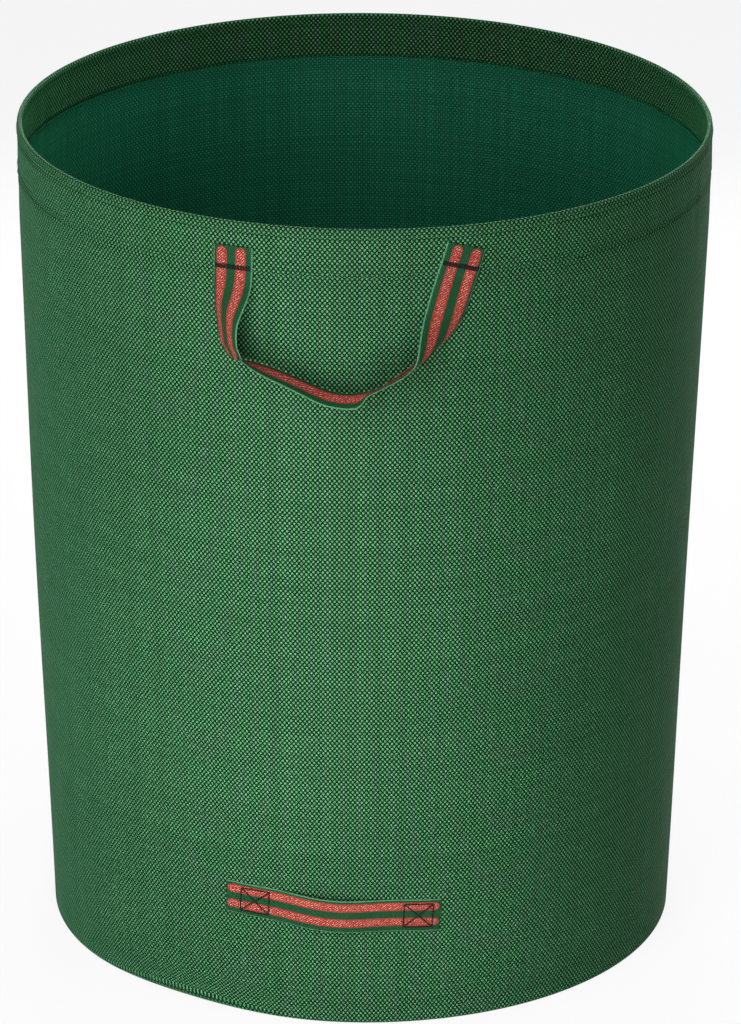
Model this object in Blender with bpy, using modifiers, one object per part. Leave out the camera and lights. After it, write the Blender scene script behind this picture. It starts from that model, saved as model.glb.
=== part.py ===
"""Round, open garden waste bag of woven plastic sheet with webbing handles.

Metres, +Z up. The origin is the centre of the base on the floor, and the front handle faces -Y.
Angles go round the bag from the front (-Y) towards +X. A stand-off is measured outwards from the
outer face of the side panel, so a negative one lies inside it.
"""

import math

import bmesh
import bpy
from mathutils import Vector

# The bag
BAG_HEIGHT = 0.800
TOP_RADIUS = 0.3285
BASE_RADIUS = 0.300
SHEET_THICKNESS = 0.0008
CLEARANCE = 0.0003
TURNS = 72

# The base and its seam
BASE_EDGE_RADIUS = 0.008
TURNED_IN_WIDTH = 0.014
BINDING_WIDTH = 0.018
BINDING_THICKNESS = 0.0006
BASE_STITCH_INSET = 0.009

# The side seam, closed inside with a tape
SIDE_SEAM_ANGLE = math.radians(97.3)
SEAM_TAPE_WIDTH = 0.025
SEAM_TAPE_THICKNESS = 0.0006
SEAM_TAPE_FOOT = 0.012
SEAM_ROW_SPACING = 0.016
SEAM_ROW_END = 0.004

# The hem and the hoop in its tunnel
HEM_DEPTH = 0.045
HOOP_DIAMETER = 0.004
HOOP_END_GAP = 0.002
SLEEVE_LENGTH = 0.040
SLEEVE_WALL = 0.0005
HEM_ROW_INSET = 0.0025
TUNNEL_ROW_DROP = 0.0025

# Thread
THREAD_WIDTH = 0.0010
THREAD_THICKNESS = 0.0007

# Webbing
WEBBING_WIDTH = 0.038
WEBBING_THICKNESS = 0.0015

# The two lifting handles. The tabs are sewn over the hem's lower row.
HANDLE_SPREAD = 0.207
TAB_LENGTH = 0.0265
TAB_TOP_DROP = 0.0200
TAB_SPLAY_LEFT = math.radians(4.0)
TAB_SPLAY_RIGHT = math.radians(14.5)
TAB_STITCH_WIDTH = 0.034
TAB_STITCH_HEIGHT = 0.003
TAB_STITCH_RISE = 0.0055
LOOP_DROP = 0.1145
LOOP_STEPS = 30
STRAIGHT_START = 0.006

# The loop's outer edge, which lies on the bag: share of the half spread across, share of the drop,
# and the twist in degrees that lifts the inner edge off the bag
LOOP_ROUTE = (
    (-1.010, 0.15, 24.0),
    (-1.010, 0.34, 42.0),
    (-0.994, 0.50, 52.0),
    (-0.920, 0.63, 62.0),
    (-0.750, 0.72, 75.0),
    (-0.450, 0.79, 80.0),
    (-0.200, 0.91, 83.0),
    (0.000, 1.00, 84.0),
    (0.230, 0.91, 79.0),
    (0.465, 0.75, 64.0),
    (0.652, 0.56, 42.0),
    (0.800, 0.41, 25.0),
    (0.914, 0.25, 12.0),
)

# The lower grab handle, for tipping the bag out
GRAB_HEIGHT = 0.1145
GRAB_ANGLE = math.radians(-2.4)
GRAB_LEAN = math.radians(2.0)
GRAB_FREE_SPAN = 0.126
GRAB_TAB_LENGTH = 0.039
GRAB_BULGE = 0.0095
GRAB_SAG = 0.002
GRAB_STEPS = 14
GRAB_STITCH_LENGTH = 0.029
GRAB_STITCH_HEIGHT = 0.029
GRAB_STITCH_INSET = 0.0012

# Colour, roughness and metallic value of each finish
FINISHES = {
    "woven_sheet": ((0.018, 0.115, 0.042), 0.55, 0.0),
    "seam_tape": ((0.012, 0.075, 0.030), 0.70, 0.0),
    "striped_webbing": ((0.360, 0.060, 0.040), 0.80, 0.0),
    "dark_thread": ((0.012, 0.020, 0.012), 0.65, 0.0),
    "hoop_rod": ((0.035, 0.040, 0.036), 0.40, 0.0),
}

# Stand-offs of what lies on the outside of the bag, from the panel outwards
HEM_INNER_FACE = CLEARANCE
HEM_OUTER_FACE = HEM_INNER_FACE + SHEET_THICKNESS
HEM_ROW_INNER_FACE = HEM_OUTER_FACE + CLEARANCE
HEM_ROW_OUTER_FACE = HEM_ROW_INNER_FACE + THREAD_THICKNESS
TAB_MIDDLE = HEM_ROW_OUTER_FACE + CLEARANCE + WEBBING_THICKNESS / 2
TAB_STITCH_INNER_FACE = TAB_MIDDLE + WEBBING_THICKNESS / 2 + CLEARANCE
GRAB_MIDDLE = CLEARANCE + WEBBING_THICKNESS / 2
GRAB_STITCH_INNER_FACE = GRAB_MIDDLE + WEBBING_THICKNESS / 2 + CLEARANCE

# The hem's tunnel
SLEEVE_RADIUS = HOOP_DIAMETER / 2 + CLEARANCE + SLEEVE_WALL
TUNNEL_RADIUS = SLEEVE_RADIUS + CLEARANCE
BEAD_RADIUS = TUNNEL_RADIUS + SHEET_THICKNESS
BEAD_HEIGHT = BAG_HEIGHT - BEAD_RADIUS
HEM_BOTTOM = BAG_HEIGHT - HEM_DEPTH
HEM_ROW_HEIGHT = HEM_BOTTOM + HEM_ROW_INSET
PANEL_TOP = BEAD_HEIGHT - TUNNEL_RADIUS

# The tabs of the lifting handles
TAB_TOP = BAG_HEIGHT - TAB_TOP_DROP
TAB_BOTTOM = TAB_TOP - TAB_LENGTH
LOOP_TOP = TAB_BOTTOM - CLEARANCE

# The base
BASE_LIFT = SHEET_THICKNESS + CLEARANCE
BASE_DISC_RADIUS = BASE_RADIUS - BASE_EDGE_RADIUS
TURNED_IN_EDGE = BASE_DISC_RADIUS - TURNED_IN_WIDTH
BINDING_BOTTOM = BASE_LIFT + SHEET_THICKNESS + CLEARANCE
BASE_STITCH_BOTTOM = BINDING_BOTTOM + BINDING_THICKNESS + CLEARANCE

# A flat facet of a turned piece lies this far inside its round
FACET_DEPTH = TOP_RADIUS * (1 - math.cos(math.pi / TURNS))

parts = None
cutters = None


def start_scene():
    """Empties the scene and makes the collections for the parts and the cutters."""
    global parts, cutters
    for old in list(bpy.data.objects):
        bpy.data.objects.remove(old)
    parts = bpy.data.collections.new("garden_waste_bag")
    cutters = bpy.data.collections.new("cutters")
    bpy.context.scene.collection.children.link(parts)
    bpy.context.scene.collection.children.link(cutters)


def finish_material(finish):
    """Returns the finish's material, made once."""
    material = bpy.data.materials.get(finish)
    if material is None:
        colour, roughness, metallic = FINISHES[finish]
        material = bpy.data.materials.new(finish)
        material.use_nodes = True
        shader = material.node_tree.nodes["Principled BSDF"]
        shader.inputs["Base Color"].default_value = (*colour, 1.0)
        shader.inputs["Roughness"].default_value = roughness
        shader.inputs["Metallic"].default_value = metallic
        material.diffuse_color = (*colour, 1.0)
    return material


def add_object(name, data, finish, collection=None):
    """Links a named object with its finish."""
    thing = bpy.data.objects.new(name, data)
    data.materials.append(finish_material(finish))
    (collection or parts).objects.link(thing)
    return thing


def panel_radius(height):
    """Radius of the side panel's outer face at a height."""
    return BASE_RADIUS + (TOP_RADIUS - BASE_RADIUS) * height / BAG_HEIGHT


def wall_point(angle, height, stand_off):
    """A point near the wall, from its angle round the bag, its height and its stand-off."""
    radius = panel_radius(height) + stand_off
    return Vector((radius * math.sin(angle), -radius * math.cos(angle), height))


def arc_angle(arc, height):
    """The angle that a length along the wall spans at a height."""
    return arc / panel_radius(height)


def turned(name, profile, finish, closed=True):
    """A turned piece. The profile runs down its outer side, as (radius, height) points."""
    mesh = bpy.data.meshes.new(name)
    points = [(radius, 0.0, height) for radius, height in profile]
    edges = [(i, i + 1) for i in range(len(points) - 1)]
    if closed:
        edges.append((len(points) - 1, 0))
    mesh.from_pydata(points, edges, [])
    thing = add_object(name, mesh, finish)
    screw = thing.modifiers.new("turn", "SCREW")
    screw.steps = TURNS
    screw.render_steps = TURNS
    screw.use_merge_vertices = True
    screw.merge_threshold = 0.00001
    return thing


def sheet_strip(name, rows, thickness, finish, collection=None):
    """A strip of sheet or webbing: a grid of rows of points on its middle face, given a thickness."""
    bm = bmesh.new()
    across = len(rows[0]) - 1
    bmesh.ops.create_grid(bm, x_segments=across, y_segments=len(rows) - 1, size=1.0)
    bm.verts.ensure_lookup_table()
    for vertex in bm.verts:
        column = round((vertex.co.x + 1) / 2 * across)
        row = round((vertex.co.y + 1) / 2 * (len(rows) - 1))
        vertex.co = rows[row][column]
    mesh = bpy.data.meshes.new(name)
    bm.to_mesh(mesh)
    bm.free()
    thing = add_object(name, mesh, finish, collection)
    solid = thing.modifiers.new("thickness", "SOLIDIFY")
    solid.thickness = thickness
    solid.offset = 0.0
    solid.use_even_offset = True
    return thing


def union(first, others):
    """Joins other solids to the first with Boolean unions, and hides them as cutters."""
    for other in others:
        other.hide_render = True
        other.display_type = "WIRE"
        join = first.modifiers.new("join", "BOOLEAN")
        join.operation = "UNION"
        join.solver = "EXACT"
        join.object = other
    return first


class WallPatch:
    """A small drawing board laid on the wall: x runs round the bag, and y up it and by its lean."""

    def __init__(self, angle, height, lean):
        self.angle = angle
        self.height = height
        self.lean = lean

    def point(self, x, y, stand_off):
        """The point of the drawing board, wrapped on the wall."""
        across = x * math.cos(self.lean) + y * math.sin(self.lean)
        up = y * math.cos(self.lean) - x * math.sin(self.lean)
        turn = arc_angle(across, self.height)
        return wall_point(self.angle + turn, self.height + up, stand_off)

    def strip(self, name, start, end, width, faces, finish, collection=None):
        """A strip between two points of the board, between an inner and an outer face."""
        run = Vector(end) - Vector(start)
        side = Vector((-run.y, run.x)).normalized() * width / 2
        steps = max(1, math.ceil(run.length / 0.006))
        middle = sum(faces) / 2
        rows = []
        for i in range(steps + 1):
            centre = Vector(start) + run * i / steps
            edges = [centre + side * share for share in (-1.0, 0.0, 1.0)]
            rows.append([self.point(spot.x, spot.y, middle) for spot in edges])
        return sheet_strip(name, rows, faces[1] - faces[0], finish, collection)


def crossed_box(name, patch, low, high, inner_face):
    """A sewn box with a cross in it, as one run of thread on the webbing."""
    inset = THREAD_WIDTH / 4
    left = low[0] + inset
    right = high[0] - inset
    bottom = low[1]
    top = high[1]
    runs = (
        ((low[0], bottom), (high[0], bottom), (0.00, 1.00)),
        ((low[0], top), (high[0], top), (0.00, 1.00)),
        ((left, bottom), (left, top), (0.10, 0.88)),
        ((right, bottom), (right, top), (0.10, 0.88)),
        ((left, bottom), (right, top), (0.16, 0.80)),
        ((left, top), (right, bottom), (0.06, 0.94)),
    )
    strips = []
    for number, (start, end, shares) in enumerate(runs):
        faces = [inner_face + share * THREAD_THICKNESS for share in shares]
        run_name = f"{name}_run_{number}" if number else name
        group = cutters if number else parts
        strip = patch.strip(run_name, start, end, THREAD_WIDTH, faces, "dark_thread", group)
        strips.append(strip)
    return union(strips[0], strips[1:])


def arc_points(centre, radius, start, end, steps):
    """Points on a round of a profile, as (radius, height), from one angle to another."""
    turn = (end - start) / steps
    angles = [start + turn * i for i in range(steps + 1)]
    return [(centre[0] + radius * math.cos(a), centre[1] + radius * math.sin(a)) for a in angles]


def side_panel():
    """The wall: one sheet, rolled into a tube, its lower edge turned in under the base."""
    edge_centre = (BASE_DISC_RADIUS, BASE_EDGE_RADIUS)
    outer_edge = arc_points(edge_centre, BASE_EDGE_RADIUS, 0.0, -math.pi / 2, 3)
    inner_edge = arc_points(edge_centre, BASE_EDGE_RADIUS - SHEET_THICKNESS, -math.pi / 2, 0.0, 3)
    top_outer = panel_radius(PANEL_TOP)
    profile = [(top_outer, PANEL_TOP), *outer_edge]
    profile += [(TURNED_IN_EDGE, 0.0), (TURNED_IN_EDGE, SHEET_THICKNESS)]
    profile += [*inner_edge, (top_outer - SHEET_THICKNESS, PANEL_TOP)]
    return turned("side_panel", profile, "woven_sheet")


def base_panel():
    """The base disc. Its middle lies on the floor and its edge on the panel's turned-in edge."""
    step_outer = TURNED_IN_EDGE - CLEARANCE
    step_inner = step_outer - 2 * BASE_LIFT
    top = BASE_LIFT + SHEET_THICKNESS
    profile = [(0.0, SHEET_THICKNESS), (step_inner, SHEET_THICKNESS), (step_outer, top)]
    profile += [(BASE_DISC_RADIUS, top), (BASE_DISC_RADIUS, BASE_LIFT), (step_outer, BASE_LIFT)]
    profile += [(step_inner, 0.0), (0.0, 0.0)]
    return turned("base_panel", profile, "woven_sheet", closed=False)


def ring(name, radii, heights, finish):
    """A turned ring of rectangular section."""
    inner, outer = radii
    low, high = heights
    profile = [(outer, high), (outer, low), (inner, low), (inner, high)]
    return turned(name, profile, finish)


def base_seam():
    """The tape that covers the base seam's raw edges, and the row of thread through it."""
    tape_heights = (BINDING_BOTTOM, BINDING_BOTTOM + BINDING_THICKNESS)
    tape_radii = (BASE_DISC_RADIUS - BINDING_WIDTH, BASE_DISC_RADIUS)
    ring("base_seam_binding", tape_radii, tape_heights, "seam_tape")
    thread_middle = BASE_DISC_RADIUS - BASE_STITCH_INSET
    thread_radii = (thread_middle - THREAD_WIDTH / 2, thread_middle + THREAD_WIDTH / 2)
    thread_heights = (BASE_STITCH_BOTTOM, BASE_STITCH_BOTTOM + THREAD_THICKNESS)
    ring("base_seam_stitch", thread_radii, thread_heights, "dark_thread")


def side_seam():
    """The tape inside the bag that covers the side seam, and its two rows of thread."""
    tape_outer = -SHEET_THICKNESS - CLEARANCE - FACET_DEPTH
    tape_inner = tape_outer - SEAM_TAPE_THICKNESS
    thread_outer = tape_inner - CLEARANCE
    thread_inner = thread_outer - THREAD_THICKNESS
    top = HEM_BOTTOM - CLEARANCE
    pieces = (
        ("side_seam_tape", 0.0, SEAM_TAPE_WIDTH, tape_inner, tape_outer, 0.0, "seam_tape"),
        ("side_seam_stitch_front", -SEAM_ROW_SPACING / 2, THREAD_WIDTH, thread_inner,
         thread_outer, SEAM_ROW_END, "dark_thread"),
        ("side_seam_stitch_back", SEAM_ROW_SPACING / 2, THREAD_WIDTH, thread_inner,
         thread_outer, SEAM_ROW_END, "dark_thread"),
    )
    for name, middle, width, inner, outer, end, finish in pieces:
        columns = 4 if width > THREAD_WIDTH else 1
        rows = []
        for height in (SEAM_TAPE_FOOT + end, top - end):
            arcs = [middle + width * (i / columns - 0.5) for i in range(columns + 1)]
            turns = [SIDE_SEAM_ANGLE + arc_angle(arc, BAG_HEIGHT) for arc in arcs]
            rows.append([wall_point(turn, height, (inner + outer) / 2) for turn in turns])
        sheet_strip(name, rows, outer - inner, finish)


def rim_hem():
    """The hem: the sheet folded over the hoop and down both faces of the panel's top edge."""
    centre = (panel_radius(BEAD_HEIGHT) - SHEET_THICKNESS / 2, BEAD_HEIGHT)
    reach_outer = SHEET_THICKNESS / 2 + HEM_OUTER_FACE
    reach_inner = SHEET_THICKNESS / 2 + HEM_INNER_FACE
    low_outer = -math.acos(reach_outer / BEAD_RADIUS)
    low_inner = -math.acos(reach_inner / TUNNEL_RADIUS)
    foot = panel_radius(HEM_BOTTOM) - SHEET_THICKNESS / 2
    profile = arc_points(centre, BEAD_RADIUS, math.pi / 2, low_outer, 5)
    profile += [(foot + reach_outer, HEM_BOTTOM), (foot + reach_inner, HEM_BOTTOM)]
    profile += arc_points(centre, TUNNEL_RADIUS, low_inner, math.pi - low_inner, 9)
    profile += [(foot - reach_inner, HEM_BOTTOM), (foot - reach_outer, HEM_BOTTOM)]
    profile += arc_points(centre, BEAD_RADIUS, math.pi - low_outer, math.pi / 2, 5)[:-1]
    return turned("rim_hem", profile, "woven_sheet")


def hem_rows():
    """The two rows of thread that hold the hem, under the hoop and near the hem's edge."""
    tunnel_row = BEAD_HEIGHT - BEAD_RADIUS - TUNNEL_ROW_DROP
    for name, height in (("hem_stitch_upper", tunnel_row), ("hem_stitch_lower", HEM_ROW_HEIGHT)):
        low = height - THREAD_WIDTH / 2
        high = height + THREAD_WIDTH / 2
        profile = []
        for level, stand_off in ((high, HEM_ROW_OUTER_FACE), (low, HEM_ROW_OUTER_FACE),
                                 (low, HEM_ROW_INNER_FACE), (high, HEM_ROW_INNER_FACE)):
            profile.append((panel_radius(level) + stand_off, level))
        turned(name, profile, "dark_thread")


def hoop_point(angle):
    """A point on the hoop's middle line, which keeps to the facets of the turned hem."""
    step = 2 * math.pi / TURNS
    ring_radius = panel_radius(BEAD_HEIGHT) - SHEET_THICKNESS / 2
    radius = ring_radius * math.cos(step / 2) / math.cos(angle % step - step / 2)
    return Vector((radius * math.sin(angle), -radius * math.cos(angle), BEAD_HEIGHT))


def rod(name, points, radius, finish, caps):
    """A round rod or tube along a line of points."""
    curve = bpy.data.curves.new(name, "CURVE")
    curve.dimensions = "3D"
    curve.bevel_depth = radius
    curve.bevel_resolution = 2
    curve.use_fill_caps = caps
    spline = curve.splines.new("POLY")
    spline.points.add(len(points) - 1)
    for spot, point in zip(spline.points, points):
        spot.co = (*point, 1.0)
    return add_object(name, curve, finish)


def hoop():
    """The springy rod in the hem, open at the back, where a sleeve holds its two ends."""
    radius = panel_radius(BEAD_HEIGHT)
    open_half = HOOP_END_GAP / 2 / radius
    step = 2 * math.pi / TURNS
    inner_angles = [step * (i - TURNS // 2) for i in range(1, TURNS)]
    angles = [open_half - math.pi, *inner_angles, math.pi - open_half]
    points = [hoop_point(angle) for angle in angles]
    return rod("hoop", points, HOOP_DIAMETER / 2, "hoop_rod", True)


def hoop_sleeve():
    """The short tube over the hoop's two ends, at the back of the rim."""
    half = SLEEVE_LENGTH / 2 / panel_radius(BEAD_HEIGHT)
    points = [hoop_point(math.pi + turn) for turn in (-half, 0.0, half)]
    guide = rod("sleeve_guide", points, SLEEVE_RADIUS - SLEEVE_WALL, "hoop_rod", False)
    evaluated = guide.evaluated_get(bpy.context.evaluated_depsgraph_get())
    mesh = bpy.data.meshes.new_from_object(evaluated)
    mesh.name = "hoop_sleeve"
    bpy.data.objects.remove(guide)
    mesh.materials.clear()
    thing = add_object("hoop_sleeve", mesh, "hoop_rod")
    solid = thing.modifiers.new("wall", "SOLIDIFY")
    solid.thickness = SLEEVE_WALL
    solid.offset = 1.0
    solid.use_even_offset = True
    return thing


def smooth_line(stations, steps):
    """Even steps along a smooth line through stations: a list of (values, slopes) pairs."""
    knots = [0.0]
    for first, second in zip(stations, stations[1:]):
        knots.append(knots[-1] + math.hypot(second[0] - first[0], second[1] - first[1]))
    rates = []
    for i in range(len(stations)):
        before = max(i - 1, 0)
        after = min(i + 1, len(stations) - 1)
        span = knots[after] - knots[before]
        rates.append([(b - a) / span for a, b in zip(stations[before], stations[after])])
    line = []
    for step in range(steps + 1):
        place = knots[-1] * step / steps
        i = max(k for k in range(len(stations) - 1) if knots[k] <= place or k == 0)
        span = knots[i + 1] - knots[i]
        t = (place - knots[i]) / span
        values = []
        slopes = []
        for a, rate_a, b, rate_b in zip(stations[i], rates[i], stations[i + 1], rates[i + 1]):
            bend = (a - b) * 2 + (rate_a + rate_b) * span
            lean = (b - a) * 3 - (2 * rate_a + rate_b) * span
            values.append(a + rate_a * span * t + lean * t**2 + bend * t**3)
            slopes.append(rate_a + (2 * lean * t + 3 * bend * t**2) / span)
        line.append((values, slopes))
    return line


def loop_stations():
    """The loop's outer edge from the left tab to the right one: arc, height and twist."""
    half = HANDLE_SPREAD / 2
    reach = half + WEBBING_WIDTH / 2
    ends = []
    for splay in (TAB_SPLAY_LEFT, TAB_SPLAY_RIGHT):
        along = Vector((-math.sin(splay), -math.cos(splay)))
        across = Vector((math.cos(splay), -math.sin(splay)))
        corner = Vector((half, LOOP_TOP)) + across * WEBBING_WIDTH / 2
        ends.append([corner, corner + along * STRAIGHT_START])
    stations = [(-spot.x, spot.y, 0.0) for spot in ends[0]]
    for across, drop, twist in LOOP_ROUTE:
        stations.append((across * reach, LOOP_TOP - drop * LOOP_DROP, math.radians(twist)))
    stations += [(spot.x, spot.y, 0.0) for spot in reversed(ends[1])]
    return stations


def handle_loop(name, facing):
    """A lifting handle's free loop: webbing that hangs from its tabs and twists as it turns."""
    rows = []
    for (arc, height, twist), slopes in smooth_line(loop_stations(), LOOP_STEPS):
        run = Vector(slopes[:2]).normalized()
        row = []
        for share in (0.0, 0.5, 1.0):
            reach = share * WEBBING_WIDTH
            across = arc - run.y * reach * math.cos(twist)
            up = height + run.x * reach * math.cos(twist)
            stand_off = TAB_MIDDLE + reach * math.sin(twist)
            row.append(wall_point(facing + arc_angle(across, LOOP_TOP), up, stand_off))
        rows.append(row)
    return sheet_strip(name, rows, WEBBING_THICKNESS, "striped_webbing")


def lifting_handle(side, facing):
    """One lifting handle: two tabs sewn to the rim, their stitching and the loop between them."""
    tabs = (("left", -1, TAB_SPLAY_LEFT), ("right", 1, TAB_SPLAY_RIGHT))
    half = HANDLE_SPREAD / 2
    face = (TAB_MIDDLE - WEBBING_THICKNESS / 2, TAB_MIDDLE + WEBBING_THICKNESS / 2)
    thread = (TAB_STITCH_INNER_FACE, TAB_STITCH_INNER_FACE + THREAD_THICKNESS)
    for hand, mirror, splay in tabs:
        angle = facing + mirror * arc_angle(half, LOOP_TOP)
        patch = WallPatch(angle, TAB_BOTTOM, mirror * splay)
        name = f"{side}_handle_tab_{hand}"
        patch.strip(name, (0.0, 0.0), (0.0, TAB_LENGTH), WEBBING_WIDTH, face, "striped_webbing")
        name = f"{side}_handle_stitch_{hand}"
        start = (-TAB_STITCH_WIDTH / 2, TAB_STITCH_RISE)
        end = (TAB_STITCH_WIDTH / 2, TAB_STITCH_RISE)
        patch.strip(name, start, end, TAB_STITCH_HEIGHT, thread, "dark_thread")
    handle_loop(f"{side}_handle_loop", facing)


def grab_handle():
    """The lower handle: two ends sewn flat with crossed boxes, and a slack strap between them."""
    half = GRAB_FREE_SPAN / 2
    patch = WallPatch(GRAB_ANGLE, GRAB_HEIGHT, GRAB_LEAN)
    face = (GRAB_MIDDLE - WEBBING_THICKNESS / 2, GRAB_MIDDLE + WEBBING_THICKNESS / 2)
    for hand, way in (("left", -1), ("right", 1)):
        inner = half + CLEARANCE
        start = (way * inner, 0.0)
        end = (way * (half + GRAB_TAB_LENGTH), 0.0)
        name = f"grab_handle_tab_{hand}"
        patch.strip(name, start, end, WEBBING_WIDTH, face, "striped_webbing")
        near = way * (inner + GRAB_STITCH_INSET)
        far = near + way * GRAB_STITCH_LENGTH
        low = (min(near, far), -GRAB_STITCH_HEIGHT / 2)
        high = (max(near, far), GRAB_STITCH_HEIGHT / 2)
        crossed_box(f"grab_handle_stitch_{hand}", patch, low, high, GRAB_STITCH_INNER_FACE)
    rows = []
    for i in range(GRAB_STEPS + 1):
        along = half * (2 * i / GRAB_STEPS - 1)
        slack = (1 + math.cos(math.pi * along / half)) / 2
        stand_off = GRAB_MIDDLE + GRAB_BULGE * slack
        levels = [WEBBING_WIDTH * share - GRAB_SAG * slack for share in (-0.5, 0.0, 0.5)]
        rows.append([patch.point(along, level, stand_off) for level in levels])
    sheet_strip("grab_handle_loop", rows, WEBBING_THICKNESS, "striped_webbing")


def build():
    """Builds the whole bag."""
    start_scene()
    side_panel()
    base_panel()
    base_seam()
    side_seam()
    rim_hem()
    hem_rows()
    hoop()
    hoop_sleeve()
    lifting_handle("front", 0.0)
    lifting_handle("back", math.pi)
    grab_handle()


build()
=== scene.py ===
"""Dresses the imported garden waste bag: its woven sheet, hem, webbing handles and sewing.

Metres, +Z up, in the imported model's own frame. Angles go round the bag from the front (-Y) towards
+X. A stand-off is measured outwards from the cloth's outer face.
"""

import logging
import math
from dataclasses import dataclass, field
from enum import Enum
from functools import cache

import bpy
import numpy as np
from mathutils import Matrix, Vector


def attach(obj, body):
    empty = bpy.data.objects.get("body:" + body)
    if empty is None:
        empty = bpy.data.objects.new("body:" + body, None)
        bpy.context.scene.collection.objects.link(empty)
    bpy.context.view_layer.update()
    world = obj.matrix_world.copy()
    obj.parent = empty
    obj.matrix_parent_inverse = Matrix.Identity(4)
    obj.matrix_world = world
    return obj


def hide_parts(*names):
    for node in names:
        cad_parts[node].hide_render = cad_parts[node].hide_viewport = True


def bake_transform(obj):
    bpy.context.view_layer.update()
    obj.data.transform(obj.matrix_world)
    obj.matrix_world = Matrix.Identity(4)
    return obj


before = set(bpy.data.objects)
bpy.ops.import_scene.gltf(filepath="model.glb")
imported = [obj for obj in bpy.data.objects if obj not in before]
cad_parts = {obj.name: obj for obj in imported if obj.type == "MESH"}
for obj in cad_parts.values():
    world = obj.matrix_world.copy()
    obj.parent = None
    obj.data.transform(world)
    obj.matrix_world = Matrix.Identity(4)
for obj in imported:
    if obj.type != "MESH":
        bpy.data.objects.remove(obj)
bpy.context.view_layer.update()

LOG = logging.getLogger("garden_waste_bag")

Colour = tuple[float, float, float]
Value = float | Colour | bpy.types.NodeSocket
Array = np.ndarray
Span = tuple[float, float]

# The wall's sheet: its girth at mid-height, its upright tapes, and the angle where its ends meet.
MIDDLE_RADIUS = 0.3143
GIRTH = 2 * math.pi * MIDDLE_RADIUS
TAPES_ROUND = 920
SEAM_ANGLE = math.radians(97.3)

# The thicknesses that more than one piece has.
SHEET_THICKNESS = 0.0004
TAPE_THICKNESS = 0.0006
WEBBING_THICKNESS = 0.0013


class Facing(Enum):
    """The side of the bag that a piece is on, as an angle round it."""

    FRONT = 0.0
    BACK = math.pi


class Hand(Enum):
    """The end of a handle, as seen by someone who faces it."""

    LEFT = -1
    RIGHT = 1


def round_axis(angle: Array, radius: Array | float, height: Array | float) -> Array:
    """Points round the bag's axis, with x, y and z last."""
    angle, radius, height = np.broadcast_arrays(angle, radius, height)
    return np.stack([radius * np.sin(angle), -radius * np.cos(angle), height], axis=-1)


def cloth_places(across: Array, along: Array) -> Array:
    """Places on flat cloth, with one row for each step along it and one column for each across."""
    return np.stack(np.broadcast_arrays(across[None, :], along[:, None]), axis=-1)


def soft_share(value: Array | float, start: float, end: float) -> Array | float:
    """A soft step from 0 at the start to 1 at the end."""
    share = np.clip((value - start) / (end - start), 0.0, 1.0)
    return share ** 2 * (3 - 2 * share)


def hump(angle: Array, middle: float, spread: float) -> Array:
    """A soft hump round the bag, 1 at its middle and near 0 beyond twice its spread."""
    turn = (angle - middle + math.pi) % (2 * math.pi) - math.pi
    return np.exp(-((turn / spread) ** 2))


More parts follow.
